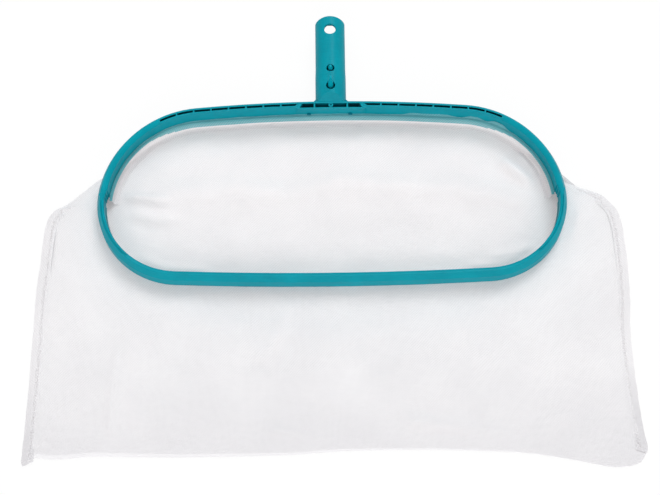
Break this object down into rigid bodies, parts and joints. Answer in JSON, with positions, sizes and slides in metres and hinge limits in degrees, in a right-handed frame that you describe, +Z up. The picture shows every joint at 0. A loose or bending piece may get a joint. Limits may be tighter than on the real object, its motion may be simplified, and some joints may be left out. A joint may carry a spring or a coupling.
{
  "type": "leaf skimmer net",
  "caption": "Pool leaf skimmer head: rounded plastic scoop hoop with a tubular pole tongue, a sprung lock button and a deep sewn mesh bag, lying flat.",
  "frame": {"origin": "on the ground under the middle of the whole net, which lies flat with the front of its hoop up", "axes": "+X along the hoop's long bars, +Y towards the tip of the pole tongue, +Z up, out of the front of the hoop"},
  "size_m": [0.562, 0.442, 0.045],
  "materials": {
    "teal_plastic": "moulded, glossy",
    "peg_plastic": "moulded, satin",
    "clip_plastic": "moulded, glossy",
    "white_mesh": "fine polyester mesh",
    "thread": "sewing thread"
  },
  "bodies": {
    "net": {"frame": "teal_plastic", "lip": "teal_plastic", "joint_pins": "teal_plastic", "upper_retainer_strip": "teal_plastic", "lower_retainer_strip": "teal_plastic", "strip_pegs": "peg_plastic", "upper_mouth_hem": "white_mesh", "lower_mouth_hem": "white_mesh", "net_front_panel": "white_mesh", "net_back_panel": "white_mesh", "left_side_seam": "white_mesh", "right_side_seam": "white_mesh", "left_shoulder_seam": "white_mesh", "right_shoulder_seam": "white_mesh", "left_stitching": "thread", "right_stitching": "thread", "lock_clip_base": "clip_plastic"},
    "lock_button": {"lock_clip_arm": "clip_plastic"}
  },
  "joints": [
    {"name": "lock_button_press", "type": "hinge", "parent": "net", "child": "lock_button", "pos_m": [0, 0.186, 0.017], "axis": [1, 0, 0], "range_deg": [0, 10.4], "stiffness_Nm_per_rad": 0.6, "springref_deg": -8.59}
  ]
}
